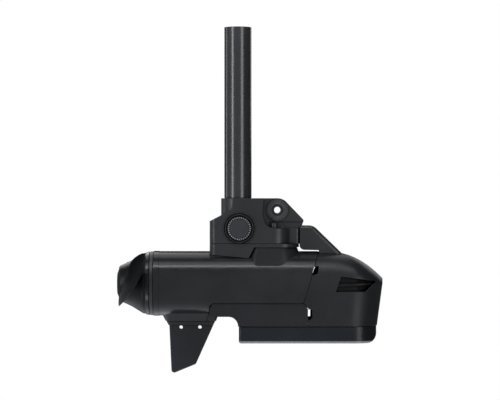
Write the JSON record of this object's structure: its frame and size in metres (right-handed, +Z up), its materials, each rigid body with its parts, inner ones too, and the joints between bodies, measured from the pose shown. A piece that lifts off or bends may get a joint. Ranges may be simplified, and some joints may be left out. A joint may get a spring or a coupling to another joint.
{
  "type": "trolling motor",
  "caption": "Lower unit of an electric trolling motor: shaft tube, clamped mount, torpedo housing with two-blade propeller, sonar nose and skeg.",
  "frame": {"origin": "centre of the shaft tube's top end", "axes": "+X forward towards the nose, +Z up along the shaft, +Y to port"},
  "size_m": [0.3705, 0.28, 0.483],
  "materials": {
    "shaft_gloss": "glossy black tube",
    "cast_black": "satin black coated casting",
    "satin_black": "fine textured satin black",
    "nose_black": "satin black moulding",
    "housing_black": "satin black powder coat",
    "skeg_black": "matte black nylon",
    "knob_black": "matte black moulding",
    "pod_black": "smooth black moulding",
    "prop_black": "satin black moulding",
    "anode_coated": "dark satin",
    "dark_insert": "matte",
    "rubber_black": "matte",
    "cable_rubber": "matte",
    "stainless": "satin",
    "bearing_steel": "polished",
    "bare_aluminium": "machined",
    "lamination_steel": "stacked sheet",
    "copper": "enamelled wire",
    "brass": "machined",
    "magnet": "nickel plated",
    "ceramic": "fired ceramic",
    "circuit_board": "solder mask"
  },
  "bodies": {
    "root": {"shaft_tube": "shaft_gloss", "mount_core": "cast_black", "mount_cover_left": "satin_black", "mount_cover_right": "satin_black", "mount_base": "satin_black", "mount_bolts": "stainless", "lock_bolt": "stainless", "motor_housing": "housing_black", "lower_cover": "nose_black", "nose_cone": "nose_black", "vent_insert_left": "dark_insert", "vent_insert_right": "dark_insert", "cable_guard": "satin_black", "transducer_housing": "pod_black", "pod_screws": "stainless", "transducer_lid": "dark_insert", "sidescan_elements": "ceramic", "sonar_disc": "ceramic", "downscan_element": "ceramic", "skeg_fin": "skeg_black", "skeg_screws": "stainless", "rear_end_cap": "housing_black", "end_cap_screws": "stainless", "anode_ring": "anode_coated", "line_guard_ring": "housing_black", "end_cap_oring": "rubber_black", "shaft_seals": "rubber_black", "rear_bearing_outer": "bearing_steel", "front_bearing_outer": "bearing_steel", "bearing_plate": "bare_aluminium", "stator_core": "lamination_steel", "stator_windings": "copper", "front_bulkhead": "bare_aluminium", "bulkhead_oring": "rubber_black", "bulkhead_retaining_ring": "stainless", "heat_sink": "bare_aluminium", "drive_board": "circuit_board", "power_transistors": "dark_insert", "bus_capacitors": "dark_insert", "board_standoffs": "brass", "board_connector": "dark_insert", "power_harness": "cable_rubber", "sonar_cable": "cable_rubber", "harness_connector": "dark_insert", "shaft_foot_seal": "rubber_black", "cable_gland": "brass", "nose_grommet": "rubber_black"},
    "spinner": {"propeller": "prop_black", "motor_shaft": "stainless", "rotor_core": "lamination_steel", "rotor_magnets": "magnet", "shear_pin": "stainless", "prop_washer": "stainless", "prop_nut": "prop_black", "rear_bearing_inner": "bearing_steel", "front_bearing_inner": "bearing_steel"},
    "rear_balls": {"rear_bearing_balls": "bearing_steel"},
    "front_balls": {"front_bearing_balls": "bearing_steel"},
    "knob_carrier": {"knob_washer": "rubber_black"},
    "knob": {"lock_knob": "knob_black"}
  },
  "joints": [
    {"name": "prop_spin", "type": "hinge", "parent": "root", "child": "spinner", "pos_m": [-0.14, 0, -0.358], "axis": [1, 0, 0], "continuous": true},
    {"name": "rear_balls_spin", "type": "hinge", "parent": "root", "child": "rear_balls", "pos_m": [-0.108, 0, -0.358], "axis": [1, 0, 0], "continuous": true},
    {"name": "front_balls_spin", "type": "hinge", "parent": "root", "child": "front_balls", "pos_m": [-0.02, 0, -0.358], "axis": [1, 0, 0], "continuous": true},
    {"name": "knob_travel", "type": "slide", "parent": "root", "child": "knob_carrier", "axis": [0, -1, 0], "range_m": [0, 0.0025]},
    {"name": "knob_turn", "type": "hinge", "parent": "knob_carrier", "child": "knob", "pos_m": [0.002, -0.028, -0.281], "axis": [0, -1, 0], "range_deg": [0, 720]}
  ],
  "couplings": [
    {"joint": "rear_balls_spin", "follows": "prop_spin", "ratio": 0.381},
    {"joint": "front_balls_spin", "follows": "prop_spin", "ratio": 0.381},
    {"joint": "knob_travel", "follows": "knob_turn", "m_per_rad": 0.00019894}
  ]
}
